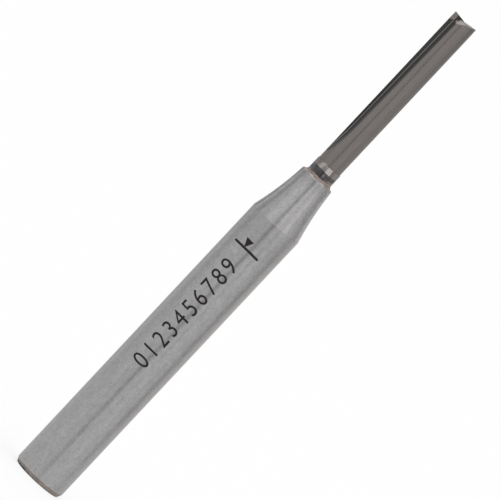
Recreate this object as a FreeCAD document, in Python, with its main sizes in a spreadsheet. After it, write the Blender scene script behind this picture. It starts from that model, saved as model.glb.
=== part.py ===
import FreeCAD, Part
import math
import os
import Sketcher
from FreeCAD import Vector

# Driving dimensions, in millimetres and degrees
DIMENSIONS = [
    ("shank_diameter", 6.35, "quarter-inch shank, ground to size"),
    ("shank_straight", 37.9, "from the end face to where the nose begins"),
    ("end_chamfer_width", 0.25, "chamfer of the shank's end, across the axis"),
    ("end_chamfer_height", 0.5, "chamfer of the shank's end, along the axis"),
    ("nose_length", 6.5, "from the straight shank to the nose's face"),
    ("nose_diameter", 4.135, "at the nose's face"),
    ("nose_arc_radius", 36, "the nose is hollow-turned to this radius"),
    ("nose_edge_break", 0.07, "small chamfer round the nose's face"),
    ("bore_depth", 12.5, "blind bore in the nose, to the drill's shoulder"),
    ("drill_point_angle", 118, "full angle of the cone at the bore's end"),
    ("braze_gap", 0.05, "film of braze all round the cutter's tail"),
    ("braze_fillet_width", 0.37, "fillet round the cutter's foot, across the nose's face"),
    ("braze_fillet_height", 0.38, "the same fillet, up the cutter"),
    ("braze_fillet_radius", 0.52, "hollow of the same fillet"),
    ("blank_diameter", 3.175, "eighth-inch carbide blank"),
    ("tail_chamfer", 0.15, "on the blank's hidden end"),
    ("collar_length", 1.91, "unground blank that stands out of the nose"),
    ("ground_length", 21.47, "from the collar to the tip"),
    ("cutting_diameter", 3, "over the two cutting lips"),
    ("land_relief_angle", 8, "how far each land falls away behind its lip"),
    ("flute_depth", 0.53, "width of the rake face at the tip"),
    ("flute_root_radius", 0.1, "the wheel's rounded corner, at the flute's root"),
    ("flute_taper_angle", 0.75, "the flute gets shallower towards the shank"),
    ("runout_clearance", 0.0447, "from the collar to the foot of the flute's run-out"),
    ("back_wall_angle", 21, "of the flute's back wall, off square to the rake face"),
    ("wheel_radius", 29, "of the grinding wheel, which shapes the run-out"),
    ("runout_angle", 14, "turn of the wheel's path while it lifts out"),
    ("dish_angle", 9, "each end edge falls by this angle to the middle"),
    ("end_relief_angle", 6, "behind each end edge"),
    ("gash_angle", 34, "fall of the end gash towards its flute"),
    ("gash_relief_angle", 22, "fall of the end gash towards its land"),
    ("gash_reach", 0.55, "from the axis to the end of the gash"),
    ("tip_facet_length", 0.79, "facet ground on the rake face at the tip"),
    ("tip_facet_angle", 9, "of that facet to the rake face"),
    ("tip_facet_slant", 28, "of that facet's lower edge"),
    ("overrun", 1, "how far a cut runs on past the stock"),
]

# Heights along the axis, and radii, that several pieces share
DERIVED = [
    ("shank_radius", "=shank_diameter / 2"),
    ("nose_radius", "=nose_diameter / 2"),
    ("blank_radius", "=blank_diameter / 2"),
    ("cutting_radius", "=cutting_diameter / 2"),
    ("bore_radius", "=blank_radius + braze_gap"),
    ("nose_face", "=shank_straight + nose_length"),
    ("bore_floor", "=nose_face - bore_depth"),
    ("bore_apex", "=bore_floor - bore_radius / tan(drill_point_angle / 2 * 1deg)"),
    ("tail_end", "=bore_floor + braze_gap"),
    ("collar_top", "=nose_face + collar_length"),
    ("tip_height", "=collar_top + ground_length"),
    ("stock_reach", "=max(blank_radius; cutting_radius) / cos(back_wall_angle * 1deg)"),
    ("taper_fall", "=ground_length * tan(flute_taper_angle * 1deg)"),
    ("runout_depth", "=stock_reach - cutting_radius + flute_depth - taper_fall"),
    ("runout_height", "=runout_clearance + sqrt(2 * wheel_radius * runout_depth)"),
    ("flute_length", "=ground_length - runout_height"),
    ("lift_height", "=collar_top + runout_height"),
]

LIP_COUNT = 2
FULL_TURN_DEGREES = 360
ORIGIN_INDEX = (-1, 1)
X_AXIS_INDEX = -1
Y_AXIS_INDEX = -2
START_INDEX, END_INDEX = 1, 2
UPWARDS = (0, 0, 1)
TOWARDS_FLUTE = (0, -1, 0)

doc = FreeCAD.newDocument("straight_router_bit")
sheet = doc.addObject("Spreadsheet::Sheet", "sizes")


def fill_sheet():
    row = 1
    for alias, value, note in DIMENSIONS:
        sheet.set(f"A{row}", alias)
        sheet.set(f"B{row}", str(value))
        sheet.set(f"C{row}", note)
        sheet.setAlias(f"B{row}", alias)
        row += 1
    for alias, formula in DERIVED:
        sheet.set(f"A{row}", alias)
        sheet.set(f"B{row}", formula)
        sheet.setAlias(f"B{row}", alias)
        row += 1
    doc.recompute()


def new_body(label):
    body = doc.addObject("PartDesign::Body", label)
    body.Label = label
    return body


def origin_feature(body, role):
    return next(f for f in body.Origin.OriginFeatures if f.Role == role)


def new_sketch(body, name, plane, offset=None):
    """A sketch on one of the body's own planes, moved by the placement that offset gives."""
    sketch = body.newObject("Sketcher::SketchObject", name)
    sketch.AttachmentSupport = (origin_feature(body, plane), [""])
    sketch.MapMode = "FlatFace"
    if offset:
        sketch.setExpression("AttachmentOffset", offset)
    return sketch


def number(sketch, expression):
    value = sketch.evalExpression(expression)
    return float(getattr(value, "Value", value))


def point_at(sketch, expressions):
    across, along = expressions
    return Vector(number(sketch, across), number(sketch, along), 0)


def end_near(sketch, edge, point):
    """Which end of an edge lies at the point: an arc may run either way round."""
    gap = sketch.getPoint(edge, START_INDEX).distanceToPoint(point)
    return START_INDEX if gap < sketch.getPoint(edge, END_INDEX).distanceToPoint(point) else END_INDEX


def bind(sketch, constraint, name, expression):
    index = sketch.addConstraint(constraint)
    sketch.renameConstraint(index, name)
    sketch.setExpression(f"Constraints.{name}", expression)


def fix_point(sketch, edge, end, name, expressions):
    """Holds one end of an edge at its place, measured from the sketch's origin."""
    kinds = (("DistanceX", "x", Y_AXIS_INDEX), ("DistanceY", "y", X_AXIS_INDEX))
    for (kind, suffix, axis), expression in zip(kinds, expressions):
        if expression == "0":
            sketch.addConstraint(Sketcher.Constraint("PointOnObject", edge, end, axis))
            continue
        distance = Sketcher.Constraint(kind, *ORIGIN_INDEX, edge, end, number(sketch, expression))
        bind(sketch, distance, f"{name}_{suffix}", expression)


def middle_of_arc(start, end, radius):
    """The middle of the arc that bulges to the left of the way from start to end."""
    half = start.distanceToPoint(end) / 2
    rise = abs(radius) - math.sqrt(radius ** 2 - half ** 2)
    way = (end - start).normalize()
    side = math.copysign(rise, radius)
    return (start + end) / 2 + Vector(-way.y, way.x, 0) * side


def draw_outline(sketch, corners, arcs=(), closed=True):
    """Draws an outline through named corners. arcs gives the radius of the edge after a corner."""
    arcs = dict(arcs)
    points = [point_at(sketch, place) for name, place in corners]
    count = len(corners) if closed else len(corners) - 1
    for edge in range(count):
        name = corners[edge][0]
        start, end = points[edge], points[(edge + 1) % len(corners)]
        if name in arcs:
            middle = middle_of_arc(start, end, number(sketch, arcs[name]))
            sketch.addGeometry(Part.Arc(start, middle, end))
        else:
            sketch.addGeometry(Part.LineSegment(start, end))
    for edge in range(count):
        name, place = corners[edge]
        fix_point(sketch, edge, end_near(sketch, edge, points[edge]), name, place)
        following = (edge + 1) % len(corners)
        edge_end = end_near(sketch, edge, points[following])
        if following < count:
            next_start = end_near(sketch, following, points[following])
            sketch.addConstraint(Sketcher.Constraint("Coincident", edge, edge_end, following, next_start))
        else:
            last_name, last_place = corners[following]
            fix_point(sketch, edge, edge_end, last_name, last_place)
        if name in arcs:
            radius = abs(number(sketch, arcs[name]))
            bind(sketch, Sketcher.Constraint("Radius", edge, radius), f"{name}_radius", f"abs({arcs[name]})")
    doc.recompute()


def revolve(body, name, sketch):
    feature = body.newObject("PartDesign::Revolution", name)
    feature.Profile = sketch
    feature.ReferenceAxis = (sketch, ["V_Axis"])
    feature.Angle = FULL_TURN_DEGREES
    doc.recompute()
    return feature


def must_remove(body, feature, before):
    """A cut that points away from the stock removes nothing, so the volumes are compared."""
    if not feature.Shape.Volume < before:
        raise RuntimeError(f"{body.Label}: {feature.Name} removes nothing")
    return feature


def pocket(body, name, sketch, length, direction=None):
    """Cuts the sketch through the stock, in the direction given or else square to its plane."""
    before = body.Shape.Volume
    feature = body.newObject("PartDesign::Pocket", name)
    feature.Profile = sketch
    feature.setExpression("Length", length)
    if direction:
        feature.UseCustomVector = True
        feature.Direction = Vector(*direction)
    doc.recompute()
    return must_remove(body, feature, before)


def make_shank():
    body = new_body("shank")
    profile = new_sketch(body, "shank_profile", "XZ_Plane")
    draw_outline(
        profile,
        [
            ("end_centre", ("0", "0")),
            ("end_rim", ("sizes.shank_radius - sizes.end_chamfer_width", "0")),
            ("chamfer_rim", ("sizes.shank_radius", "sizes.end_chamfer_height")),
            ("nose_start", ("sizes.shank_radius", "sizes.shank_straight")),
            ("nose_rim", ("sizes.nose_radius", "sizes.nose_face - sizes.nose_edge_break")),
            ("face_rim", ("sizes.nose_radius - sizes.nose_edge_break", "sizes.nose_face")),
            ("face_centre", ("0", "sizes.nose_face")),
        ],
        arcs=[("nose_start", "sizes.nose_arc_radius")],
    )
    turned = revolve(body, "turned_shank", profile)
    before = turned.Shape.Volume

    bore_profile = new_sketch(body, "bore_profile", "XZ_Plane")
    draw_outline(
        bore_profile,
        [
            ("apex", ("0", "sizes.bore_apex")),
            ("shoulder", ("sizes.bore_radius", "sizes.bore_floor")),
            ("mouth", ("sizes.bore_radius", "sizes.nose_face + sizes.overrun")),
            ("centre", ("0", "sizes.nose_face + sizes.overrun")),
        ],
    )
    bore = body.newObject("PartDesign::Groove", "bore")
    bore.Profile = bore_profile
    bore.ReferenceAxis = (bore_profile, ["V_Axis"])
    bore.Angle = FULL_TURN_DEGREES
    doc.recompute()
    must_remove(body, bore, before)
    return body


def make_braze_joint():
    body = new_body("braze_joint")
    profile = new_sketch(body, "braze_profile", "XZ_Plane")
    draw_outline(
        profile,
        [
            ("apex", ("0", "sizes.bore_apex")),
            ("shoulder", ("sizes.bore_radius", "sizes.bore_floor")),
            ("mouth", ("sizes.bore_radius", "sizes.nose_face")),
            ("toe", ("sizes.blank_radius + sizes.braze_fillet_width", "sizes.nose_face")),
            ("crest", ("sizes.blank_radius", "sizes.nose_face + sizes.braze_fillet_height")),
            ("tail_side", ("sizes.blank_radius", "sizes.tail_end + sizes.tail_chamfer")),
            ("tail_rim", ("sizes.blank_radius - sizes.tail_chamfer", "sizes.tail_end")),
            ("tail_centre", ("0", "sizes.tail_end")),
        ],
        arcs=[("toe", "sizes.braze_fillet_radius")],
    )
    revolve(body, "braze_film_and_fillet", profile)
    return body


def cut_flute(body):
    """The wheel's path: up the tapered flute from where it lifts out, whose arc leaves the stock."""
    before = body.Shape.Volume
    path = new_sketch(body, "wheel_path", "XZ_Plane")
    taper = "(sizes.flute_taper_angle * 1deg)"
    last_turn = "((sizes.flute_taper_angle + sizes.runout_angle) * 1deg)"
    above_x = f"sizes.overrun * tan{taper}"
    start_x = f"-sizes.flute_length * tan{taper}"
    low_x = f"{start_x} - sizes.wheel_radius * (cos{taper} - cos{last_turn})"
    low_z = f"sizes.lift_height - sizes.wheel_radius * (sin{last_turn} - sin{taper})"
    draw_outline(
        path,
        [
            ("above_tip", (above_x, "sizes.tip_height + sizes.overrun")),
            ("lift_off", (start_x, "sizes.lift_height")),
            ("clear", (low_x, low_z)),
        ],
        arcs=[("lift_off", "sizes.wheel_radius")],
        closed=False,
    )

    section = new_sketch(
        body,
        "flute_section",
        "XY_Plane",
        "placement(vector(0; 0; sizes.tip_height + sizes.overrun); rotation(0; 0; 0))",
    )
    corner = f"sizes.flute_depth - sizes.cutting_radius + {above_x}"
    tangent = "(sizes.flute_root_radius / tan((90 + sizes.back_wall_angle) / 2 * 1deg))"
    reach = "(sizes.cutting_radius + sizes.overrun)"
    wall_angle = "(sizes.back_wall_angle * 1deg)"
    draw_outline(
        section,
        [
            ("rake_foot", (f"{corner} - {tangent}", "0")),
            ("rake_side", (f"-{reach}", "0")),
            ("outer_corner", (f"-{reach}", f"-{reach}")),
            ("wall_top", (f"{corner} + {reach} * tan{wall_angle}", f"-{reach}")),
            ("wall_foot", (f"{corner} + {tangent} * sin{wall_angle}", f"-{tangent} * cos{wall_angle}")),
        ],
        arcs=[("wall_foot", "-sizes.flute_root_radius")],
    )

    flute = body.newObject("PartDesign::SubtractivePipe", "flute")
    flute.Profile = section
    flute.Spine = (path, ["Edge1", "Edge2"])
    doc.recompute()
    return must_remove(body, flute, before)


def relieve_land(body):
    """The land is an arc through both lips whose middle lies inside the cutting circle."""
    section = new_sketch(
        body,
        "land_relief_section",
        "XY_Plane",
        "placement(vector(0; 0; sizes.tip_height + sizes.overrun); rotation(0; 0; 0))",
    )
    reach = "(sizes.cutting_radius + sizes.overrun)"
    draw_outline(
        section,
        [
            ("left_lip", ("-sizes.cutting_radius", "0")),
            ("right_lip", ("sizes.cutting_radius", "0")),
            ("right_side", (reach, "0")),
            ("right_corner", (reach, f"-{reach}")),
            ("left_corner", (f"-{reach}", f"-{reach}")),
            ("left_side", (f"-{reach}", "0")),
        ],
        arcs=[("left_lip", "-sizes.cutting_radius / cos(sizes.land_relief_angle * 1deg)")],
    )
    return pocket(body, "land_relief", section, "sizes.ground_length + sizes.overrun")


def cut_tip(body, name, origin, rotation, length):
    """Removes what lies above a sloping plane, on the near side of the lips' plane only."""
    slope = f"placement(vector({origin}); rotation({rotation}))"
    face = new_sketch(body, f"{name}_plane", "XY_Plane", slope)
    reach = "(sizes.cutting_diameter + sizes.overrun)"
    draw_outline(
        face,
        [
            ("inner_right", (reach, "0")),
            ("inner_left", (f"-{reach}", "0")),
            ("outer_left", (f"-{reach}", f"-{reach}")),
            ("outer_right", (reach, f"-{reach}")),
        ],
    )
    return pocket(body, name, face, length, UPWARDS)


def facet_rake(body):
    """A small sloping facet on the rake face, at the corner of the lip."""
    foot = "sizes.flute_depth - sizes.cutting_radius; sizes.tip_height - sizes.tip_facet_length; 0"
    face = new_sketch(
        body,
        "tip_facet_plane",
        "XZ_Plane",
        f"placement(vector({foot}); rotation(sizes.tip_facet_slant; 0; -sizes.tip_facet_angle))",
    )
    width = "(sizes.flute_depth + sizes.overrun)"
    height = "(sizes.tip_facet_length + sizes.overrun)"
    rise = f"{height} * cos(sizes.tip_facet_slant * 1deg)"
    shift = f"{height} * sin(sizes.tip_facet_slant * 1deg)"
    draw_outline(
        face,
        [
            ("inner_foot", ("0", "0")),
            ("inner_top", (shift, rise)),
            ("outer_top", (f"{shift} - {width}", rise)),
            ("outer_foot", (f"-{width}", "0")),
        ],
    )
    return pocket(body, "tip_facet", face, "sizes.cutting_radius", TOWARDS_FLUTE)


def make_cutter():
    body = new_body("carbide_cutter")
    profile = new_sketch(body, "cutter_profile", "XZ_Plane")
    draw_outline(
        profile,
        [
            ("tail_centre", ("0", "sizes.tail_end")),
            ("tail_rim", ("sizes.blank_radius - sizes.tail_chamfer", "sizes.tail_end")),
            ("tail_side", ("sizes.blank_radius", "sizes.tail_end + sizes.tail_chamfer")),
            ("collar_rim", ("sizes.blank_radius", "sizes.collar_top")),
            ("ground_foot", ("sizes.cutting_radius", "sizes.collar_top")),
            ("tip_rim", ("sizes.cutting_radius", "sizes.tip_height")),
            ("tip_centre", ("0", "sizes.tip_height")),
        ],
    )
    revolve(body, "ground_blank", profile)

    corner = "sizes.cutting_radius; 0; sizes.tip_height"
    gash_fall = "tan(sizes.dish_angle * 1deg) * (sizes.cutting_radius + sizes.gash_reach)"
    cuts = [
        relieve_land(body),
        cut_flute(body),
        cut_tip(
            body,
            "end_relief",
            corner,
            "0; -sizes.dish_angle; sizes.end_relief_angle",
            "sizes.cutting_diameter",
        ),
        cut_tip(
            body,
            "end_gash",
            f"-sizes.gash_reach; 0; sizes.tip_height - {gash_fall}",
            "0; -sizes.gash_angle; sizes.gash_relief_angle",
            "2 * sizes.cutting_diameter",
        ),
        facet_rake(body),
    ]
    before = body.Shape.Volume
    pattern = body.newObject("PartDesign::PolarPattern", "both_lips")
    pattern.Originals = cuts
    pattern.Axis = (origin_feature(body, "Z_Axis"), [""])
    pattern.Angle = FULL_TURN_DEGREES
    pattern.Occurrences = LIP_COUNT
    body.Tip = pattern
    doc.recompute()
    must_remove(body, pattern, before)
    return body


def check_and_export(bodies):
    """Nothing is written unless every feature worked and every piece is one valid solid."""
    doc.recompute()
    for item in doc.Objects:
        if "Invalid" in item.State or "Error" in item.State:
            raise RuntimeError(f"{item.Label} has failed: {item.State}")
    for body in bodies:
        shape = body.Shape
        if shape.isNull() or not shape.isValid() or len(shape.Solids) != 1:
            raise RuntimeError(f"{body.Label} is not one valid solid")
    os.makedirs("parts", exist_ok=True)
    for body in bodies:
        body.Shape.exportStep(f"parts/{body.Label}.step")
        box = body.Shape.optimalBoundingBox()
        print(f"{body.Label}: {body.Shape.Volume:.3f} mm3, z {box.ZMin:.3f} to {box.ZMax:.3f}")


fill_sheet()
check_and_export([make_shank(), make_braze_joint(), make_cutter()])
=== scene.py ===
import math

import bmesh
import bpy
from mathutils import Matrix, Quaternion, Vector


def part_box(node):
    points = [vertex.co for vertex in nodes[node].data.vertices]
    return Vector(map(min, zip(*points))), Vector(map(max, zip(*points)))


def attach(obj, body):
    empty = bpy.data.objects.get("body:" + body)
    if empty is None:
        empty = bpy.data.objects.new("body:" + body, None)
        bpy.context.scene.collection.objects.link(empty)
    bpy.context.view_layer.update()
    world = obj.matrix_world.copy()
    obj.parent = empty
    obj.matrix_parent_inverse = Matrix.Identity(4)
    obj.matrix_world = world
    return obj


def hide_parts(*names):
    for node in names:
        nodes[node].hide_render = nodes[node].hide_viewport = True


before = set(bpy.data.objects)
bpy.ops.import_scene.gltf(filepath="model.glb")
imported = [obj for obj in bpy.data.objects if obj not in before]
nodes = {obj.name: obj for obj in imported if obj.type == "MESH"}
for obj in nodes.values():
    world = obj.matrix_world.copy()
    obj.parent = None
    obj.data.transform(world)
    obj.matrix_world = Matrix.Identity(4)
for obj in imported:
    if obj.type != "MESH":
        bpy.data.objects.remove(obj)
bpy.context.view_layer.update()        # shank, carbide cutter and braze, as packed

mm = 0.001               # scene units are metres
scene = bpy.context.scene
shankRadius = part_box("shank")[1].x / mm
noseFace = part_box("shank")[1].z / mm
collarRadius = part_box("carbide_cutter")[1].x / mm
noiseEnds = (0.3, 0.7)   # a noise seldom goes past these


# Small helpers for the materials

def newMaterial(name):
    material = bpy.data.materials.new(name)
    material.use_nodes = True
    tree = material.node_tree
    return material, tree, tree.nodes["Principled BSDF"]


def feed(tree, socket, value):
    if isinstance(value, bpy.types.NodeSocket):
        tree.links.new(value, socket)
    else:
        socket.default_value = value


def millimetres(tree, stretch=(1, 1, 1), shift=(0, 0, 0)):
    # object coordinates in millimetres, stretched so that a pattern runs long or short
    place = tree.nodes.new("ShaderNodeTexCoord")
    mapping = tree.nodes.new("ShaderNodeMapping")
    mapping.inputs["Scale"].default_value = [s / mm for s in stretch]
    mapping.inputs["Location"].default_value = shift
    tree.links.new(place.outputs["Object"], mapping.inputs["Vector"])
    return mapping.outputs["Vector"]


def noise(tree, stretch, detail=3, roughness=0.5, shift=(0, 0, 0)):
    texture = tree.nodes.new("ShaderNodeTexNoise")
    feed(tree, texture.inputs["Vector"], millimetres(tree, stretch, shift))
    texture.inputs["Scale"].default_value = 1
    texture.inputs["Detail"].default_value = detail
    texture.inputs["Roughness"].default_value = roughness
    return texture.outputs["Fac"]


def calculate(tree, operation, a, b=0.0):
    node = tree.nodes.new("ShaderNodeMath")
    node.operation = operation
    feed(tree, node.inputs[0], a)
    feed(tree, node.inputs[1], b)
    return node.outputs["Value"]


def product(tree, *values):
    total = values[0]
    for value in values[1:]:
        total = calculate(tree, "MULTIPLY", total, value)
    return total


def split(tree):
    # x, y and z in millimetres
    node = tree.nodes.new("ShaderNodeSeparateXYZ")
    tree.links.new(millimetres(tree), node.inputs["Vector"])
    return node.outputs["X"], node.outputs["Y"], node.outputs["Z"]


def places(tree):
    # height up the axis in millimetres, and degrees round it from the front to the right
    x, y, z = split(tree)
    turn = calculate(tree, "ARCTAN2", x, calculate(tree, "MULTIPLY", y, -1))
    return z, calculate(tree, "DEGREES", turn)


def ramp(tree, value, start, end, low=0.0, high=1.0, smooth=True):
    # low up to the start, and high from the end on
    node = tree.nodes.new("ShaderNodeMapRange")
    node.interpolation_type = "SMOOTHSTEP" if smooth else "LINEAR"
    feed(tree, node.inputs["Value"], value)
    feed(tree, node.inputs["From Min"], start)
    feed(tree, node.inputs["From Max"], end)
    feed(tree, node.inputs["To Min"], low)
    feed(tree, node.inputs["To Max"], high)
    return node.outputs["Result"]


def choose(tree, share, low, high):
    # low where the share is 0, and high where it is 1
    return ramp(tree, share, 0, 1, low, high, smooth=False)


def below(tree, value, level, soft):
    # 1 below the level, with a soft edge
    return ramp(tree, value, level - soft, level + soft, 1, 0)


def between(tree, value, low, high, soft):
    # 1 from low to high, with soft edges
    rise = ramp(tree, value, low - soft, low + soft)
    return product(tree, rise, below(tree, value, high, soft))


def spread(tree, pattern, amount, middle=1.0):
    # a noise as a number that swings evenly about the middle
    return ramp(tree, pattern, *noiseEnds, middle - amount, middle + amount, smooth=False)


def noises(tree, size):
    # the piece's patterns by their names
    return {name: noise(tree, **pattern) for name, pattern in size["patterns"].items()}


def swings(tree, patterns, amounts):
    # several noises together as one factor, each by its own amount
    return product(tree, *[spread(tree, patterns[name], amounts[name]) for name in amounts])


def wavy(tree, value, pattern, amount):
    # the value, moved up and down by a noise, as for an edge that isn't even
    return calculate(tree, "ADD", value, spread(tree, pattern, amount, middle=0))


def blendColour(tree, factor, a, b):
    node = tree.nodes.new("ShaderNodeMix")
    node.data_type = "RGBA"
    feed(tree, node.inputs["Factor"], factor)
    feed(tree, node.inputs[6], a)    # the colour sockets, past those for numbers and vectors
    feed(tree, node.inputs[7], b)
    return node.outputs[2]


def shade(tree, value, colour):
    # the colour, brighter or darker by the value
    node = tree.nodes.new("ShaderNodeVectorMath")
    node.operation = "SCALE"
    feed(tree, node.inputs[0], colour[:3])
    feed(tree, node.inputs["Scale"], value)
    return node.outputs["Vector"]


def bump(tree, heightMap, depth, base=None):
    # depth in millimetres between the map's black and its white
    node = tree.nodes.new("ShaderNodeBump")
    node.inputs["Strength"].default_value = 1
    node.inputs["Distance"].default_value = depth * mm
    feed(tree, node.inputs["Height"], heightMap)
    if base is not None:
        feed(tree, node.inputs["Normal"], base)
    return node.outputs["Normal"]


def roundTheAxis(tree):
    node = tree.nodes.new("ShaderNodeTangent")
    node.direction_type = "RADIAL"
    node.axis = "Z"
    return node.outputs["Tangent"]


def paint(piece, material):
    piece.data.materials.clear()
    piece.data.materials.append(material)


# Shank: satin ground steel with a dark chamfer and a brighter turned nose

shank = {
    "steel": (0.348, 0.342, 0.343, 1),
    "edgeTint": (0.8, 0.79, 0.78, 1),
    "roughness": 0.33,
    "stretchedShine": 0.75,
    "shineTurn": 0.25,              # a quarter turn, so that the shine stretches up the shank
    "patterns": {
        "streaks": dict(stretch=(5, 5, 0.04), detail=4, roughness=0.6),
        "mottle": dict(stretch=(1.7, 1.7, 1.1), detail=4, roughness=0.6, shift=(3, 1, 7)),
        "flecks": dict(stretch=(3.2, 3.2, 5), detail=4, roughness=0.65, shift=(8, 2, 3)),
        "rings": dict(stretch=(0.3, 0.3, 9), detail=4, roughness=0.7),
        "grain": dict(stretch=(11, 11, 11), detail=2),
    },
    "swings": dict(streaks=0.03, mottle=0.07, flecks=0.12, rings=0.02, grain=0.1),
    "roughnessSwing": 0.02,
    "bumpDepth": 0.0006,            # mm
    "towardsNose": (33, 35.5, 1, 0.94),     # mm up the shank, and brightness there
    "noseStart": 37.9,
    "noseBrightness": 1.08,
    "heatDepths": (1.7, 0.4),       # mm below the nose's face, where the heat's tint starts and is full
    "heatWaviness": 0.25,           # mm
    "heatTint": (0.302, 0.297, 0.299, 1),
    "edgeBreak": 0.07,              # mm below the nose's face
    "edgeSoftness": 0.02,
    "edgeTurns": (15, 45),          # degrees to either side, from the painted highlight's first colour to its second
    "edgeHighlights": ((0.42, 0.408, 0.4, 1), (0.27, 0.262, 0.255, 1)),
    # the end's chamfer and the painted shade on its outer rim, each from left to right
    "raggedness": 0.05,             # mm
    "chamferTurns": (-80, -30),     # degrees round the shank from its front
    "chamferTops": (0.4, 0.5),      # mm up from the end face
    "chamferSoftness": (-0.04, 0.02),       # mm from the edge
    "chamferColour": (0.26, 0.225, 0.207, 1),
    "chamferStains": dict(mottle=0.15, flecks=0.2),
    "chamferRougher": 0.15,
    # painted shade on the end's outer rim
    "rimShadeTurns": (-50, 10),
    "rimShadeTops": (0.2, 0.08),
    "rimShadeSoftness": (-0.1, 0.06),
    "rimShades": ((0.045, 0.045, 0.052, 1), (0.11, 0.095, 0.09, 1)),
}


def shankSteel(size):
    material, tree, steel = newMaterial("shankSteel")
    up, turn = places(tree)
    patterns = noises(tree, size)

    onNose = calculate(tree, "GREATER_THAN", up, size["noseStart"])
    brightness = choose(tree, onNose, ramp(tree, up, *size["towardsNose"]), size["noseBrightness"])
    tone = product(tree, swings(tree, patterns, size["swings"]), brightness)
    colour = shade(tree, tone, size["steel"])

    # the heat of brazing left the nose duller towards its face, whose broken edge carries a painted
    # highlight, brightest at the front
    heatStart, heatFull = size["heatDepths"]
    uneven = wavy(tree, up, patterns["mottle"], size["heatWaviness"])
    dull = ramp(tree, uneven, noseFace - heatStart, noseFace - heatFull)
    colour = blendColour(tree, dull, colour, shade(tree, tone, size["heatTint"]))
    # painted highlight on the broken edge: bright at the front, darker to the sides
    edge = noseFace - size["edgeBreak"]
    onEdgeHighlight = ramp(tree, up, edge - size["edgeSoftness"], edge)
    toSide = ramp(tree, calculate(tree, "ABSOLUTE", turn), *size["edgeTurns"])
    colour = blendColour(tree, onEdgeHighlight, colour, blendColour(tree, toSide, *size["edgeHighlights"]))

    # the chamfer was left dark and stained; its outer rim carries painted shade, darkest on the left
    ragged = wavy(tree, up, patterns["flecks"], size["raggedness"])
    chamferTop = ramp(tree, turn, *size["chamferTurns"], *size["chamferTops"])
    aboveChamfer = calculate(tree, "SUBTRACT", ragged, chamferTop)
    onChamfer = ramp(tree, aboveChamfer, *size["chamferSoftness"], 1, 0)
    stains = swings(tree, patterns, size["chamferStains"])
    colour = blendColour(tree, onChamfer, colour, shade(tree, stains, size["chamferColour"]))
    toRight = ramp(tree, turn, *size["rimShadeTurns"])
    aboveRim = calculate(tree, "SUBTRACT", ragged, choose(tree, toRight, *size["rimShadeTops"]))
    inRimShade = ramp(tree, aboveRim, *size["rimShadeSoftness"], 1, 0)
    colour = blendColour(tree, inRimShade, colour, blendColour(tree, toRight, *size["rimShades"]))

    satin = spread(tree, patterns["mottle"], size["roughnessSwing"], middle=size["roughness"])
    rough = calculate(tree, "ADD", satin, choose(tree, onChamfer, 0, size["chamferRougher"]))
    grained = bump(tree, patterns["grain"], size["bumpDepth"])
    feed(tree, steel.inputs["Base Color"], colour)
    feed(tree, steel.inputs["Roughness"], rough)
    feed(tree, steel.inputs["Normal"], bump(tree, patterns["rings"], size["bumpDepth"], grained))
    feed(tree, steel.inputs["Tangent"], roundTheAxis(tree))
    steel.inputs["Metallic"].default_value = 1
    steel.inputs["Specular Tint"].default_value = size["edgeTint"]
    steel.inputs["Anisotropic"].default_value = size["stretchedShine"]
    steel.inputs["Anisotropic Rotation"].default_value = size["shineTurn"]
    return material


paint(nodes["shank"], shankSteel(shank))
print("shank painted")


# Cutter: fine ground tungsten carbide, with a collar that the brazing has darkened

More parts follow.
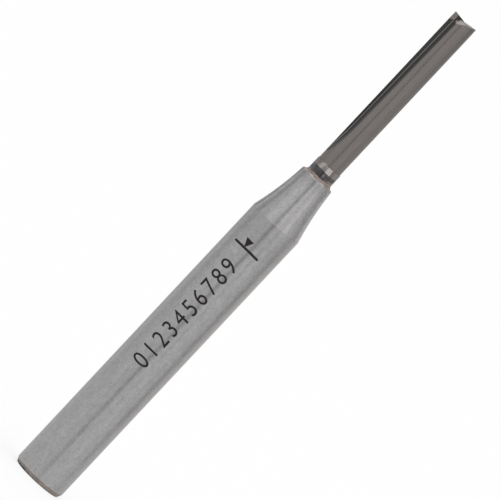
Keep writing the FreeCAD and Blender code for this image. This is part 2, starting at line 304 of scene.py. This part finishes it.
cutter = {
    "carbide": (0.182, 0.166, 0.158, 1),
    "edgeTint": (0.75, 0.75, 0.75, 1),
    "patterns": {
        "scratches": dict(stretch=(14, 14, 0.25), detail=3, roughness=0.6),
        "stripes": dict(stretch=(2.2, 2.2, 0.05), detail=2, shift=(4, 0, 2)),
        "mottle": dict(stretch=(2, 2, 1.2), detail=4, roughness=0.6, shift=(5, 2, 1)),
        "grain": dict(stretch=(24, 24, 24), detail=2),
        "clouds": dict(stretch=(1.5, 1.5, 3), detail=3),
    },
    "swings": dict(scratches=0.03, stripes=0.03, mottle=0.03, grain=0.03),
    "roughnessSwing": 0.02,
    "scratchDepth": 0.0005,         # mm
    # lands and flutes
    "landCentre": 0.211,            # mm, how far beyond the axis each land's centre lies
    "landFrom": 1.495,              # mm from that centre, just under the land's surface
    "landRoughness": 0.27,
    "rakeDepths": (0.02, 0.15),     # mm from the axis' plane to the rake faces, below the gash and at it
    "wallColour": (0.236, 0.239, 0.243, 1),
    "litBesideHeel": (1.16, 1.5, 1, 1.55),     # mm from the land's centre, and the painted light's brightness there
    "fluteRoughness": (8, 16, 0.05, 0.1),   # mm above the nose's face, and roughness there
    # heights in mm above the nose's face, and what is painted up to them or from them
    "gashBottom": 22.42,
    "gashColour": (0.225, 0.208, 0.203, 1),
    "gashRoughness": 0.3,
    "collarTop": 1.91,
    "collarColour": (0.2, 0.182, 0.17, 1),
    "collarRoughness": 0.12,
    "stepHighlightBand": (0.006, 0.002),     # mm to either side of the collar's top, and softness
    "stepHighlight": (0.5, 0.46, 0.435, 1),
    "raggedness": 0.03,             # mm, of the edges between the collar's colours
    "heatTop": 1.215,               # the braze's heat left a dark, clouded band up to here
    "heatSoftness": 0.04,
    "heatColour": (0.063, 0.06, 0.06, 1),
    "heatOnLeft": (0.1, 0.102, 0.11, 1),
    "leftTurns": (-58, -8),         # degrees round from the front, from the left's colour to the other
    "cloudSwing": 0.35,
    "cloudTurns": [(0, 30, 1, 1.55), (42, 58, 1, 0.75)],    # degrees, and brightness there
    "wetTop": 0.43,                 # a thin film of braze crept up to here, and higher on the right
    "wetSoftness": 0.05,
    "wetWaviness": 0.08,
    "wetCreep": (24, 46, 0, 0.28),  # degrees, and mm higher there
    "wetColour": (0.23, 0.185, 0.172, 1),
    "reflectionSoftness": (0.03, 1.5),   # mm and degrees
    # patches of bare metal painted with reflections, lighter than the collar around them
    "reflectionPatches": [
        # low and high, first and last angle in degrees, slant, colour
        (1.25, 2.0, -41, -20, -11, (0.33, 0.3, 0.285, 1)),
        (1.21, 1.88, -1, 27, 4, (0.42, 0.385, 0.365, 1)),
        (0.62, 1.04, 2, 13, 0, (0.135, 0.13, 0.125, 1)),
        (1.22, 1.9, 96, 131, 6, (0.36, 0.33, 0.31, 1)),
        (0.68, 1.08, 141, 160, 0, (0.12, 0.115, 0.11, 1)),
        (1.24, 1.94, -150, -112, -5, (0.38, 0.345, 0.325, 1)),
    ],
}


def collarColours(tree, size, colour, tone, patterns):
    # what the brazing left on the collar, and patches of bare metal carrying painted reflections, painted
    # over its plain colour
    height, turn = places(tree)
    up = calculate(tree, "SUBTRACT", height, noseFace)
    ragged = wavy(tree, up, patterns["mottle"], size["raggedness"])

    brightness = [ramp(tree, turn, *span) for span in size["cloudTurns"]]
    clouds = product(tree, spread(tree, patterns["clouds"], size["cloudSwing"]), *brightness)
    toLeft = ramp(tree, turn, *size["leftTurns"], 1, 0, smooth=False)
    cloudy = blendColour(
        tree, toLeft, shade(tree, clouds, size["heatColour"]), shade(tree, clouds, size["heatOnLeft"]))
    heated = below(tree, ragged, size["heatTop"], size["heatSoftness"])
    colour = blendColour(tree, heated, colour, cloudy)

    # painted reflections: lighter patches of bare metal on the collar
    softUp, softRound = size["reflectionSoftness"]
    for low, high, first, last, slant, reflectionColour in size["reflectionPatches"]:
        slanted = calculate(tree, "ADD", turn, ramp(tree, up, low, high, 0, slant, smooth=False))
        patch = product(
            tree, between(tree, ragged, low, high, softUp), between(tree, slanted, first, last, softRound))
        colour = blendColour(tree, patch, colour, shade(tree, tone, reflectionColour))

    ripple = spread(tree, patterns["mottle"], size["wetWaviness"], middle=0)
    crept = calculate(tree, "SUBTRACT", up, ramp(tree, turn, *size["wetCreep"]))
    uneven = calculate(tree, "SUBTRACT", crept, ripple)
    wet = below(tree, uneven, size["wetTop"], size["wetSoftness"])
    return blendColour(tree, wet, colour, shade(tree, tone, size["wetColour"]))


def groundCarbide(size):
    material, tree, carbide = newMaterial("groundCarbide")
    x, y, z = split(tree)
    up = calculate(tree, "SUBTRACT", z, noseFace)
    patterns = noises(tree, size)
    tone = swings(tree, patterns, size["swings"])

    # where each surface is: the collar, the lands outside, the gash at the tip and the flutes' walls
    onCollar = calculate(tree, "LESS_THAN", up, size["collarTop"])
    atGash = calculate(tree, "GREATER_THAN", up, size["gashBottom"])
    fromPlane = calculate(tree, "ABSOLUTE", y)
    across = calculate(tree, "POWER", calculate(tree, "ABSOLUTE", x), 2)
    beyond = calculate(tree, "POWER", calculate(tree, "ADD", fromPlane, size["landCentre"]), 2)
    fromCentre = calculate(tree, "SQRT", calculate(tree, "ADD", across, beyond))
    onLand = calculate(tree, "GREATER_THAN", fromCentre, size["landFrom"])
    offRake = calculate(tree, "GREATER_THAN", fromPlane, choose(tree, atGash, *size["rakeDepths"]))
    inFlute = product(tree, offRake, choose(tree, onLand, 1, 0), choose(tree, onCollar, 1, 0))

    plain = shade(tree, tone, size["carbide"])
    colour = blendColour(tree, onCollar, plain, shade(tree, tone, size["collarColour"]))
    colour = collarColours(tree, size, colour, tone, patterns)
    # each flute's wall carries painted light, brighter beside the heel than deep in the flute, and is
    # duller at the gash
    brightness = ramp(tree, fromCentre, *size["litBesideHeel"])
    wall = shade(tree, product(tree, tone, brightness), size["wallColour"])
    wall = blendColour(tree, atGash, wall, shade(tree, tone, size["gashColour"]))
    colour = blendColour(tree, inFlute, colour, wall)
    # the step from the collar to the lands carries a painted highlight
    half, soft = size["stepHighlightBand"]
    onStepHighlight = between(tree, up, size["collarTop"] - half, size["collarTop"] + half, soft)
    colour = blendColour(tree, onStepHighlight, colour, size["stepHighlight"])

    # the flutes were ground finer than the lands
    rough = ramp(tree, up, *size["fluteRoughness"])
    rough = choose(tree, product(tree, inFlute, atGash), rough, size["gashRoughness"])
    rough = choose(tree, onLand, rough, size["landRoughness"])
    rough = choose(tree, onCollar, rough, size["collarRoughness"])
    rough = wavy(tree, rough, patterns["grain"], size["roughnessSwing"])
    feed(tree, carbide.inputs["Base Color"], colour)
    feed(tree, carbide.inputs["Roughness"], rough)
    feed(tree, carbide.inputs["Normal"], bump(tree, patterns["scratches"], size["scratchDepth"]))
    carbide.inputs["Metallic"].default_value = 1
    carbide.inputs["Specular Tint"].default_value = size["edgeTint"]
    return material


paint(nodes["carbide_cutter"], groundCarbide(cutter))
print("cutter painted")


# Helpers for modelling

def onlySelect(piece):
    bpy.ops.object.select_all(action="DESELECT")
    piece.select_set(True)
    bpy.context.view_layer.objects.active = piece


def pick(piece, wanted):
    # selects the points that lie where wanted says, in millimetres
    points = bmesh.from_edit_mesh(piece.data)
    for point in points.verts:
        point.select = wanted(point.co / mm)
    points.select_flush_mode()
    bmesh.update_edit_mesh(piece.data)


def applyModifiers(piece):
    onlySelect(piece)
    for modifier in list(piece.modifiers):
        bpy.ops.object.modifier_apply(modifier=modifier.name)


def finishPiece(piece, name, material):
    piece.name = name
    paint(piece, material)
    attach(piece, "root")
    print(name, "made,", len(piece.data.polygons), "faces")


# Braze: a copper-coloured, slightly lumpy fillet round the cutter's foot, on its film in the bore

braze = {
    "steps": 144,
    "filletRings": 8,
    "filletRadius": 0.52,           # mm, hollow of the fillet
    "film": 0.05,                   # mm between the cutter's tail and the bore
    "tailChamfer": 0.15,
    "near": 0.01,                   # mm, when points are told apart
    "crestDepth": 0.02,             # mm under its top that still belongs to the crest
    "crestSteps": (0.5, 0.8, 1.1),  # mm to the right, past which the crest climbs the collar
    "crestClimb": 0.07,             # mm at each step
    "lumpSize": 0.3,
    "lumpDetail": 3,
    "lumpHeight": 0.07,
    "toeWidth": 0.1,                # mm out from the bore to the fillet's toe
    "toeLumps": 0.35,               # of the height that lumps have elsewhere
    # finish: the marks of the alloy's flow run round the cutter's foot
    "alloy": (0.34, 0.272, 0.252, 1),
    "patterns": {
        "flow": dict(stretch=(2.5, 2.5, 9), detail=5, roughness=0.6),
        "spots": dict(stretch=(2.5, 2.5, 14), detail=3, shift=(2, 9, 4)),
    },
    "flowSwing": 0.22,
    "flowDepth": 0.012,             # mm
    "roughness": 0.34,
    "roughnessSwing": 0.08,
    "lightBands": [(0.06, 0.16, 1.1, 0.8), (0.2, 0.28, 1, 1.4)],     # mm above the nose's face, and brightness of the painted bands of light and shade
    "sideShade": (20, 45, 1, 0.74), # degrees to either side, and brightness there, as painted shade
    "thinTurns": (22, 42),          # degrees to either side, and mm above the nose's face
    "thinTops": (0.08, 0.13),
    "thinFilmHighlight": (0.78, 0.74, 0.72, 1),
    "fluxSpots": (0.53, 0.68, 0, 0.6),      # of the noise, and how much flux shows there
    "fluxColour": (0.09, 0.07, 0.065, 1),
}


def brazeAlloy(size):
    material, tree, alloy = newMaterial("brazeAlloy")
    patterns = noises(tree, size)
    flow = patterns["flow"]
    height, turn = places(tree)
    up = calculate(tree, "SUBTRACT", height, noseFace)
    aside = calculate(tree, "ABSOLUTE", turn)
    # painted light: bands of light and shade up the fillet, and painted shade to either side
    litBands = product(tree, *[ramp(tree, up, *band) for band in size["lightBands"]])
    tone = product(
        tree, litBands, ramp(tree, aside, *size["sideShade"]), spread(tree, flow, size["flowSwing"]))
    colour = shade(tree, tone, size["alloy"])

    # thin where it wetted the nose's edge, with a painted highlight there towards the front, and spots of
    # burnt flux
    thin = product(
        tree, ramp(tree, aside, *size["thinTurns"], 1, 0), ramp(tree, up, *size["thinTops"], 1, 0))
    colour = blendColour(tree, thin, colour, size["thinFilmHighlight"])
    spots = ramp(tree, patterns["spots"], *size["fluxSpots"])
    colour = blendColour(tree, spots, colour, size["fluxColour"])

    rough = spread(tree, flow, size["roughnessSwing"], middle=size["roughness"])
    feed(tree, alloy.inputs["Base Color"], colour)
    feed(tree, alloy.inputs["Roughness"], rough)
    feed(tree, alloy.inputs["Normal"], bump(tree, flow, size["flowDepth"]))
    alloy.inputs["Metallic"].default_value = 1
    return material


def filletProfile(size):
    # the hollow arc from the toe on the nose's face to the crest on the collar
    toe = Vector((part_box("braze_joint")[1].x / mm, noseFace))
    crest = Vector((collarRadius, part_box("braze_joint")[1].z / mm))
    half = (crest - toe) / 2
    outward = Vector((-half.y, half.x)).normalized()
    if outward.x < 0:
        outward.negate()
    centre = (toe + crest) / 2 + outward * math.sqrt(size["filletRadius"] ** 2 - half.length ** 2)
    first, last = toe - centre, crest - centre
    rings = []
    for step in range(size["filletRings"] + 1):
        along = first.lerp(last, step / size["filletRings"]).normalized() * size["filletRadius"]
        rings.append(tuple(centre + along))
    return rings


def raiseRings(rings):
    # from the ring that is selected, each further ring is extruded up or down and then resized
    radius, level = rings[0]
    for nextRadius, nextLevel in rings[1:]:
        shift = (0, 0, (nextLevel - level) * mm)
        bpy.ops.mesh.extrude_region_move(TRANSFORM_OT_translate={"value": shift})
        share = nextRadius / radius
        bpy.ops.transform.resize(value=(share, share, 1), center_override=(0, 0, nextLevel * mm))
        radius, level = nextRadius, nextLevel


def turnBraze(size, bore, fillet):
    # the drill point's cone, the film up the bore, the fillet and the hollow that the tail fills
    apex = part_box("braze_joint")[0].z / mm
    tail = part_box("carbide_cutter")[0].z / mm
    floor = tail - size["film"]
    bpy.ops.object.select_all(action="DESELECT")
    bpy.ops.mesh.primitive_circle_add(
        vertices=size["steps"], radius=bore * mm, fill_type="TRIFAN", location=(0, 0, floor * mm))
    piece = bpy.context.object
    bpy.ops.object.transform_apply()
    bpy.ops.object.mode_set(mode="EDIT")
    bpy.ops.mesh.select_mode(type="VERT")
    pick(piece, lambda p: p.xy.length < size["near"])
    bpy.ops.transform.translate(value=(0, 0, (apex - floor) * mm))
    pick(piece, lambda p: p.xy.length > size["near"])
    inner = [(collarRadius, tail + size["tailChamfer"]), (collarRadius - size["tailChamfer"], tail)]
    raiseRings([(bore, floor), (bore, noseFace)] + fillet + inner)
    bpy.ops.mesh.extrude_region_move()
    bpy.ops.mesh.merge(type="CENTER")
    bpy.ops.mesh.select_all(action="SELECT")
    bpy.ops.mesh.normals_make_consistent(inside=False)
    return piece


def addLumps(piece, size, bore):
    # the film and the hollow stay smooth
    lumps = bpy.data.textures.new("brazeLumps", "CLOUDS")
    lumps.noise_scale = size["lumpSize"] * mm
    lumps.noise_depth = size["lumpDetail"]
    free = piece.vertex_groups.new(name="fillet")
    for vertex in piece.data.vertices:
        if vertex.co.z / mm > noseFace + size["near"]:
            free.add([vertex.index], 1, "REPLACE")
        elif vertex.co.xy.length / mm > bore + size["toeWidth"]:
            free.add([vertex.index], size["toeLumps"], "REPLACE")
    lumpy = piece.modifiers.new("lumpy", "DISPLACE")
    lumpy.texture = lumps
    lumpy.vertex_group = "fillet"
    lumpy.strength = size["lumpHeight"] * mm
    applyModifiers(piece)


def makeBraze(size):
    bore = collarRadius + size["film"]
    fillet = filletProfile(size)
    piece = turnBraze(size, bore, fillet)
    crest = fillet[-1][1] - size["crestDepth"]
    for step in size["crestSteps"]:
        pick(piece, lambda p: p.z > crest and p.x > step)
        bpy.ops.transform.translate(value=(0, 0, size["crestClimb"] * mm))
    bpy.ops.object.mode_set(mode="OBJECT")
    addLumps(piece, size, bore)
    bpy.ops.object.shade_smooth()
    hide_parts("braze_joint")
    finishPiece(piece, "braze_fillet", brazeAlloy(size))


makeBraze(braze)


# Marks on the shank: a row of plain digits, and the line and arrow that show how deep to clamp it

marks = {
    "digits": "0123456789",
    "digitsFrom": 16.93,            # mm up the shank
    "digitsTo": 31.82,
    "digitsTop": -29.4,             # degrees round the shank from its front
    "digitsFoot": 7.9,
    "digitSpacing": 1.33,
    "digitCurves": 6,               # steps along each curve
    "lineHeight": 33.91,
    "lineBow": 0.378,               # mm that the line falls away to its ends
    "lineSlope": 0.075,             # mm that it falls to the right
    "lineFrom": -40.8,
    "lineTo": 24.4,
    "lineWidth": 0.28,
    "lineEndSteps": 24,
    "arrowAngle": -13.8,
    "arrowBase": 34.96,
    "arrowWidth": 1.03,
    "strip": 3,                     # degrees round the shank that a flat strip of a mark spans
    "cutWithin": 0.001,             # mm
    "mergeWithin": 0.003,           # mm
    "thickness": 0.016,
    "proud": 0.002,
    # finish
    "black": (0.011, 0.008, 0.01, 1),
    "speckle": dict(stretch=(18, 18, 18), detail=3, roughness=0.6),
    "speckleTones": (0.3, 0.8, 0.7, 1.8),       # of the noise, and brightness there
    "speckleRoughness": (0.2, 0.8, 0.5, 0.7),
    "speckleDepth": 0.004,          # mm
    "shine": 0.25,
}


def laserBlack(size):
    material, tree, black = newMaterial("laserBlack")
    speckle = noise(tree, **size["speckle"])
    tone = ramp(tree, speckle, *size["speckleTones"], smooth=False)
    feed(tree, black.inputs["Base Color"], shade(tree, tone, size["black"]))
    feed(tree, black.inputs["Roughness"], ramp(tree, speckle, *size["speckleRoughness"]))
    feed(tree, black.inputs["Normal"], bump(tree, speckle, size["speckleDepth"]))
    black.inputs["Specular IOR Level"].default_value = size["shine"]
    return material


markBlack = laserBlack(marks)


def arc(degrees):
    # distance round the shank's surface, in millimetres
    return math.radians(degrees) * shankRadius


def cutIntoStrips(piece, left, right, rise):
    # narrow strips bend evenly, and rise moves the ends of each one up or down
    bpy.ops.object.mode_set(mode="EDIT")
    strip = arc(marks["strip"])
    for cut in range(math.ceil(left / strip), math.floor(right / strip) + 1):
        bpy.ops.mesh.select_all(action="SELECT")
        bpy.ops.mesh.bisect(
            plane_co=(cut * strip * mm, 0, 0), plane_no=(1, 0, 0), threshold=marks["cutWithin"] * mm)
    bpy.ops.mesh.select_all(action="SELECT")
    bpy.ops.mesh.remove_doubles(threshold=marks["mergeWithin"] * mm)
    bpy.ops.mesh.dissolve_degenerate(threshold=marks["mergeWithin"] * mm)
    if rise:
        for cut in range(math.floor(left / strip), math.ceil(right / strip) + 1):
            pick(piece, lambda p: round(p.x / strip) == cut)
            turn = math.radians(marks["strip"] * cut)
            bpy.ops.transform.translate(value=(0, 0, rise(turn) * mm))
    bpy.ops.object.mode_set(mode="OBJECT")


def wrapOnShank(piece, name, rise=None):
    # the flat mark faces the front, with X as the distance round the shank and Z up it
    onlySelect(piece)
    bpy.ops.object.transform_apply()
    left = min(v.co.x for v in piece.data.vertices) / mm
    right = max(v.co.x for v in piece.data.vertices) / mm
    cutIntoStrips(piece, left, right, rise)

    outside = shankRadius + marks["proud"]
    wall = piece.modifiers.new("wall", "SOLIDIFY")
    wall.thickness = marks["thickness"] * mm
    wall.offset = -1
    bend = piece.modifiers.new("roundTheShank", "SIMPLE_DEFORM")
    bend.deform_method = "BEND"
    bend.deform_axis = "Z"
    bend.angle = (right - left) / outside
    applyModifiers(piece)
    bpy.ops.transform.translate(value=(0, -outside * mm, 0))
    bpy.ops.object.transform_apply()
    finishPiece(piece, name, markBlack)


def resizeTo(piece, left, right, low, high):
    # stretches the flat mark to its place
    corners = [Vector(c) for c in piece.bound_box]
    start = Vector([min(c[i] for c in corners) for i in range(3)])
    size = Vector([max(c[i] for c in corners) for i in range(3)]) - start
    wider = (right - left) * mm / size.x
    taller = (high - low) * mm / size.z
    bpy.ops.transform.translate(value=-start)
    bpy.ops.transform.resize(value=(wider, 1, taller), center_override=(0, 0, 0))
    bpy.ops.transform.translate(value=(left * mm, 0, low * mm))


def makeDigits():
    # the row reads up the shank, with the tops of its digits towards the left
    top, foot = arc(marks["digitsTop"]), arc(marks["digitsFoot"])
    bpy.ops.object.select_all(action="DESELECT")
    bpy.ops.object.text_add(rotation=(math.radians(90), math.radians(-90), 0))
    text = bpy.context.object
    text.data.body = marks["digits"]
    text.data.space_character = marks["digitSpacing"]
    text.data.resolution_u = marks["digitCurves"]
    bpy.ops.object.convert(target="MESH")
    digits = bpy.context.object
    bpy.ops.object.transform_apply()
    resizeTo(digits, top, foot, marks["digitsFrom"], marks["digitsTo"])
    wrapOnShank(digits, "digit_marks")


def makeDepthLine():
    # a bar with round ends, stretched from a small disc
    end = marks["lineWidth"] / 2
    middle = arc(marks["lineFrom"]) + end
    bpy.ops.object.select_all(action="DESELECT")
    bpy.ops.mesh.primitive_circle_add(
        vertices=marks["lineEndSteps"], radius=end * mm, fill_type="NGON",
        rotation=(math.radians(90), 0, 0), location=(middle * mm, 0, marks["lineHeight"] * mm))
    line = bpy.context.object
    bpy.ops.object.transform_apply()
    bpy.ops.object.mode_set(mode="EDIT")
    pick(line, lambda p: p.x > middle)
    longer = arc(marks["lineTo"] - marks["lineFrom"]) - 2 * end
    bpy.ops.transform.translate(value=(longer * mm, 0, 0))
    bpy.ops.object.mode_set(mode="OBJECT")
    wrapOnShank(
        line, "depth_line",
        lambda turn: marks["lineBow"] * (math.cos(turn) - 1) - marks["lineSlope"] * math.sin(turn))


def makeArrow():
    bpy.ops.object.select_all(action="DESELECT")
    bpy.ops.mesh.primitive_circle_add(
        vertices=3, radius=mm, fill_type="NGON", rotation=(math.radians(90), math.radians(180), 0))
    arrow = bpy.context.object
    bpy.ops.object.transform_apply()
    middle = arc(marks["arrowAngle"])
    half = marks["arrowWidth"] / 2
    resizeTo(arrow, middle - half, middle + half, marks["lineHeight"], marks["arrowBase"])
    wrapOnShank(arrow, "depth_arrow")


makeDigits()
makeDepthLine()
makeArrow()


# Studio: white floor and background, soft lamps, and cards that only the polished metal sees

studio = {
    "white": (1, 1, 1, 1),
    "skySeen": 1.0,                 # what the camera and the metal see of the white room
    "skyLight": 0.9,                # what it gives to dull surfaces
    "floorHalf": 4.0,               # m
    "floorGlow": 1.06,
    "floorShowsShadow": 0.3,
    "floorPaper": (0.92, 0.92, 0.92, 1),
    "paperRoughness": 0.9,
    "lampDistance": 1.3,            # m
    "lampAim": (0, 0, 0.035),       # m
    "lamps": [
        # name, azimuth, height, width and tall in metres, brightness, colour
        ("frontRight", 52, 0.55, 0.35, 0.6, 1.1, (1, 0.99, 0.97)),
        ("frontLeft", -40, 0.6, 0.35, 0.6, 0.25, (1, 1, 1)),
    ],
    "cards": [
        # name, azimuth, half width in degrees, distance, bottom and top in millimetres, colour
        ("frontDark", 0, 5.5, 45, 0, 41.5, (0.42, 0.42, 0.425)),
        ("rakeDark", -1, 2.7, 45, 41.5, 110, (0.17, 0.19, 0.2)),
        ("landBright", 32, 13, 300, 17.5, 42, (1.27, 1.27, 1.27)),
        ("landRight", 66, 12, 300, 17.5, 42, (0.68, 0.68, 0.68)),
        ("landEdge", 102, 13, 300, 17.5, 42, (1.12, 1.1, 1.08)),
        ("landLeft", -85, 25, 300, 17.5, 42, (0.76, 0.76, 0.77)),
        ("frontFaint", 32, 3, 75, 0, 60, (0.8, 0.8, 0.8)),
        ("frontLeftFaint", -28, 10, 75, 0, 36, (0.84, 0.84, 0.84)),
        ("rightDark", 98, 10, 40, 0, 32, (0.67, 0.67, 0.67)),
        ("leftFaint", -100, 14, 70, 5, 32, (0.86, 0.86, 0.87)),
        ("rightRim", 150, 9, 80, 0, 150, (1.1, 1.06, 1.01)),
        ("noseRightRim", 148, 12, 78, 46, 67, (0.84, 0.825, 0.8)),
        ("leftRim", -150, 9, 80, 0, 45, (0.78, 0.8, 0.86)),
        ("fluteDark", -138, 9, 70, 42, 75, (0.25, 0.245, 0.245)),
        ("noseLeft", -27, 9, 300, 65, 220, (1.1, 1.09, 1.1)),
        ("noseMiddle", 17, 5, 300, 65, 220, (1.42, 1.41, 1.4)),
        ("noseRight", 47, 7, 300, 65, 220, (1.11, 1.09, 1.08)),
        ("noseRightFaint", 69, 12, 300, 65, 220, (0.87, 0.87, 0.87)),
        ("noseLeftFaint", -68, 12, 300, 65, 220, (0.84, 0.84, 0.84)),
        ("noseRightDark", 102, 20, 300, 52, 114, (0.2, 0.2, 0.2)),
        ("noseLeftDark", -98, 16, 300, 56, 128, (0.27, 0.27, 0.27)),
        ("gashLight", -145, 13, 300, 190, 400, (1.8, 1.75, 1.72)),
    ],
}


def seenDirectly(tree):
    # 1 for what the camera sees, straight or by a mirror or through glass
    path = tree.nodes.new("ShaderNodeLightPath")
    total = calculate(tree, "MAXIMUM", path.outputs["Is Camera Ray"], path.outputs["Is Glossy Ray"])
    return calculate(tree, "MAXIMUM", total, path.outputs["Is Transmission Ray"])


def mixInto(tree, output, share, hidden, seen):
    # the share of the seen shader, and the hidden one for the rest
    mix = tree.nodes.new("ShaderNodeMixShader")
    tree.links.new(share, mix.inputs["Fac"])
    tree.links.new(hidden.outputs[0], mix.inputs[1])
    tree.links.new(seen.outputs[0], mix.inputs[2])
    tree.links.new(mix.outputs[0], tree.nodes[output].inputs["Surface"])


def whiteWorld(setup):
    world = bpy.data.worlds.new("whiteRoom")
    scene.world = world
    world.use_nodes = True
    tree = world.node_tree
    seen = tree.nodes["Background"]
    soft = tree.nodes.new("ShaderNodeBackground")
    for background, strength in ((seen, setup["skySeen"]), (soft, setup["skyLight"])):
        background.inputs["Color"].default_value = setup["white"]
        background.inputs["Strength"].default_value = strength
    mixInto(tree, "World Output", seenDirectly(tree), soft, seen)


def makeFloor(setup):
    bpy.ops.object.select_all(action="DESELECT")
    bpy.ops.mesh.primitive_plane_add(size=2 * setup["floorHalf"], location=(0, 0, 0))
    floor = bpy.context.object
    floor.name = "paleFloor"
    material, tree, paper = newMaterial("palePaper")
    paper.inputs["Base Color"].default_value = setup["floorPaper"]
    paper.inputs["Roughness"].default_value = setup["paperRoughness"]
    paper.inputs["Specular IOR Level"].default_value = 0
    glow = tree.nodes.new("ShaderNodeEmission")
    glow.inputs["Strength"].default_value = setup["floorGlow"]
    share = calculate(tree, "MULTIPLY", seenDirectly(tree), 1 - setup["floorShowsShadow"])
    mixInto(tree, "Material Output", share, paper, glow)
    paint(floor, material)


def around(azimuth, distance, up):
    # a place at an angle round the bit, measured from the front towards the right
    turn = math.radians(azimuth)
    return Vector((distance * math.sin(turn), -distance * math.cos(turn), up))


def facing(place, target):
    return (place - target).to_track_quat("Z", "Y").to_euler()


def addLamp(setup, name, azimuth, up, width, tall, brightness, colour):
    place = around(azimuth, setup["lampDistance"], up)
    aim = facing(place, Vector(setup["lampAim"]))
    bpy.ops.object.light_add(type="AREA", location=place, rotation=aim)
    lamp = bpy.context.object
    lamp.name = name
    lamp.data.shape = "RECTANGLE"
    lamp.data.size = width
    lamp.data.size_y = tall
    lamp.data.energy = brightness * math.pi * width * tall
    lamp.data.color = colour
    lamp.visible_camera = False


def addCard(name, azimuth, halfWidth, distance, bottom, top, colour):
    # a card stands upright and faces the axis
    place = around(azimuth, distance * mm, (bottom + top) / 2 * mm)
    aim = facing(place, Vector((0, 0, place.z)))
    bpy.ops.object.select_all(action="DESELECT")
    bpy.ops.mesh.primitive_plane_add(size=1, location=place, rotation=aim)
    card = bpy.context.object
    card.name = name
    card.scale = (2 * distance * math.tan(math.radians(halfWidth)) * mm, (top - bottom) * mm, 1)
    card.visible_camera = False
    card.visible_shadow = False
    card.visible_diffuse = False
    material, tree, unused = newMaterial(name)
    tree.nodes.remove(unused)
    glow = tree.nodes.new("ShaderNodeEmission")
    glow.inputs["Color"].default_value = (*colour, 1)
    tree.links.new(glow.outputs[0], tree.nodes["Material Output"].inputs["Surface"])
    paint(card, material)


whiteWorld(studio)
makeFloor(studio)
for lamp in studio["lamps"]:
    addLamp(studio, *lamp)
for card in studio["cards"]:
    addCard(*card)
print("studio lit")


# Camera: a long lens, a little above the bit and turned so that the bit lies aslant

camera = {
    "distance": 1.0,                # m
    "elevation": 5.6,               # degrees above the horizon
    "roll": 43.12,                  # degrees
    "aim": (-0.091, 0, 33.84),      # mm, the point at the picture's middle
    "frameWidth": 53.76,            # mm across the picture
    "clip": (0.1, 20),              # m
}


def addCamera(setup):
    tilt = math.radians(setup["elevation"])
    back = Vector((0, -math.cos(tilt), math.sin(tilt)))
    aim = Vector(setup["aim"]) * mm
    bpy.ops.object.camera_add(location=aim + back * setup["distance"])
    lens = bpy.context.object
    turn = back.to_track_quat("Z", "Y") @ Quaternion((0, 0, 1), math.radians(setup["roll"]))
    lens.rotation_euler = turn.to_euler()
    lens.data.lens = lens.data.sensor_width * setup["distance"] / (setup["frameWidth"] * mm)
    lens.data.clip_start, lens.data.clip_end = setup["clip"]
    scene.camera = lens


addCamera(camera)
scene.view_settings.view_transform = "Standard"
print("camera placed")
